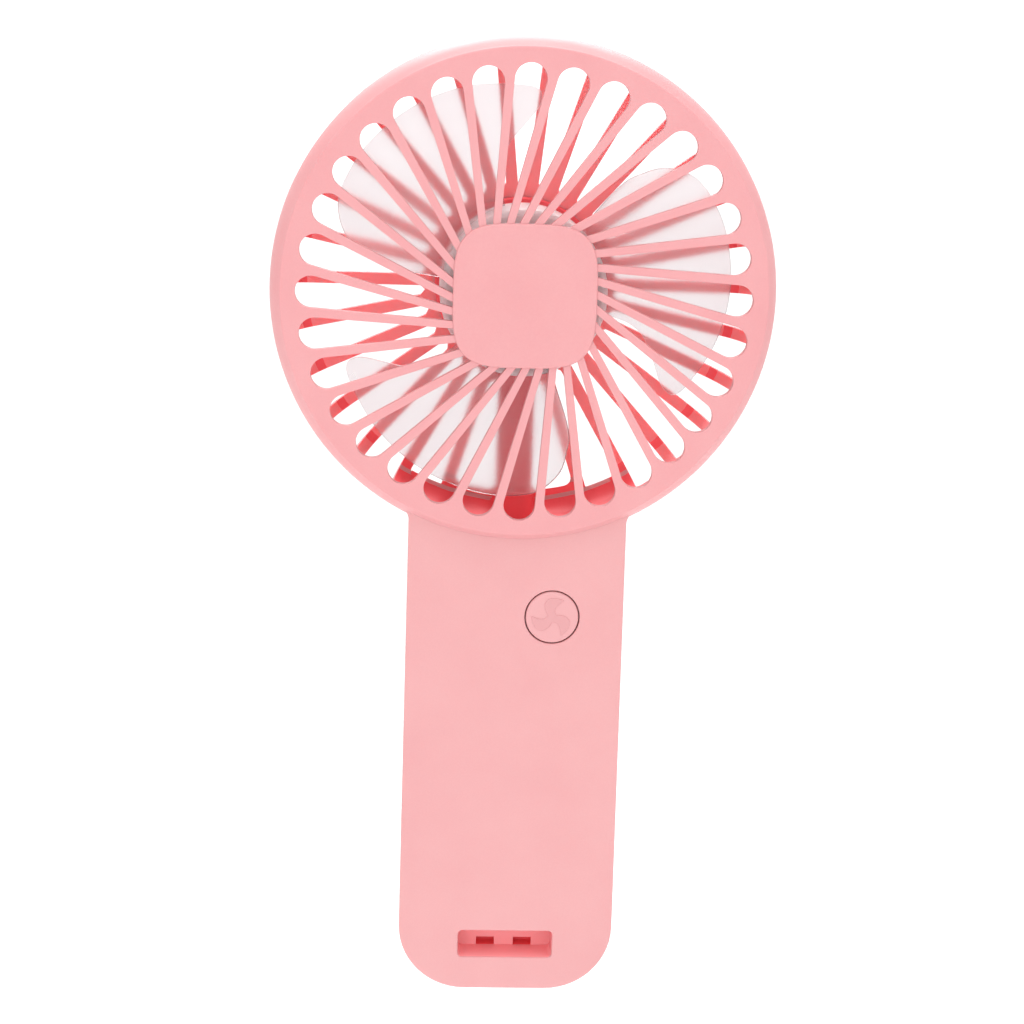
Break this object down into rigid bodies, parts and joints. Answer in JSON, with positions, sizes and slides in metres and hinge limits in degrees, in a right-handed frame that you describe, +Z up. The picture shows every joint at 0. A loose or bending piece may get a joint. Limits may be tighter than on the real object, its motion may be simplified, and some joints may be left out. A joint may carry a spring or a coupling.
{
  "type": "handheld fan",
  "caption": "Battery handheld fan: round pink head with slotted front and rear grilles, frosted impeller, flat handle with power button, lanyard recess and charging port.",
  "frame": {"origin": "centre of the handle's bottom face, midway through the head's depth", "axes": "+X to the right as seen from the front, +Y towards the back, +Z up along the handle to the head"},
  "size_m": [0.105, 0.028, 0.2055],
  "materials": {
    "pink_plastic": "moulded, fine satin texture",
    "clear_plastic": "frosted clear moulding",
    "steel": "bright stamped and turned steel",
    "screw_steel": "plated screw steel",
    "copper": "enamelled copper wire and copper segments",
    "brass": "stamped spring brass",
    "nickel": "nickel strip",
    "bronze": "sintered bronze",
    "ferrite": "sintered ferrite",
    "black_plastic": "moulded, matt",
    "white_plastic": "moulded, matt",
    "rubber": "soft moulded rubber",
    "foam": "closed-cell foam",
    "cell_wrap": "heat-shrunk sleeve",
    "board": "solder mask over glass fibre",
    "wire_red": "wire insulation",
    "wire_black": "wire insulation"
  },
  "bodies": {
    "housing": {"front_grille": "pink_plastic", "front_shell": "pink_plastic", "rear_shell": "pink_plastic", "motor_can": "steel", "motor_end_cap": "white_plastic", "motor_front_bush": "bronze", "motor_rear_bush": "bronze", "motor_magnet_left": "ferrite", "motor_magnet_right": "ferrite", "brush_left": "brass", "brush_right": "brass", "motor_terminal_left": "brass", "motor_terminal_right": "brass", "motor_damper": "rubber", "housing_screw_1": "screw_steel", "housing_screw_2": "screw_steel", "housing_screw_3": "screw_steel", "housing_screw_4": "screw_steel", "switch_body": "steel", "main_board": "board", "charge_chip": "black_plastic", "speed_chip": "black_plastic", "power_inductor": "ferrite", "filter_capacitor": "brass", "charge_light": "white_plastic", "port_shell": "nickel", "port_tongue": "black_plastic", "board_screw_1": "screw_steel", "board_screw_2": "screw_steel", "battery_cell": "cell_wrap", "battery_cap": "nickel", "battery_washer": "white_plastic", "battery_tab_plus": "nickel", "battery_tab_minus": "nickel", "battery_foam": "foam", "motor_wire_red": "wire_red", "motor_wire_black": "wire_black", "battery_wire_red": "wire_red", "battery_wire_black": "wire_black"},
    "rotor": {"impeller": "clear_plastic", "motor_shaft": "steel", "armature_core": "steel", "armature_coil_1": "copper", "armature_coil_2": "copper", "armature_coil_3": "copper", "commutator": "copper"},
    "button": {"power_button": "pink_plastic", "switch_plunger": "black_plastic"}
  },
  "joints": [
    {"name": "fan_spin", "type": "hinge", "parent": "housing", "child": "rotor", "pos_m": [0, 0, 0.153], "axis": [0, 1, 0], "continuous": true},
    {"name": "button_press", "type": "slide", "parent": "housing", "child": "button", "axis": [0, 1, 0], "range_m": [0, 0.0004], "stiffness_N_per_m": 4000}
  ]
}
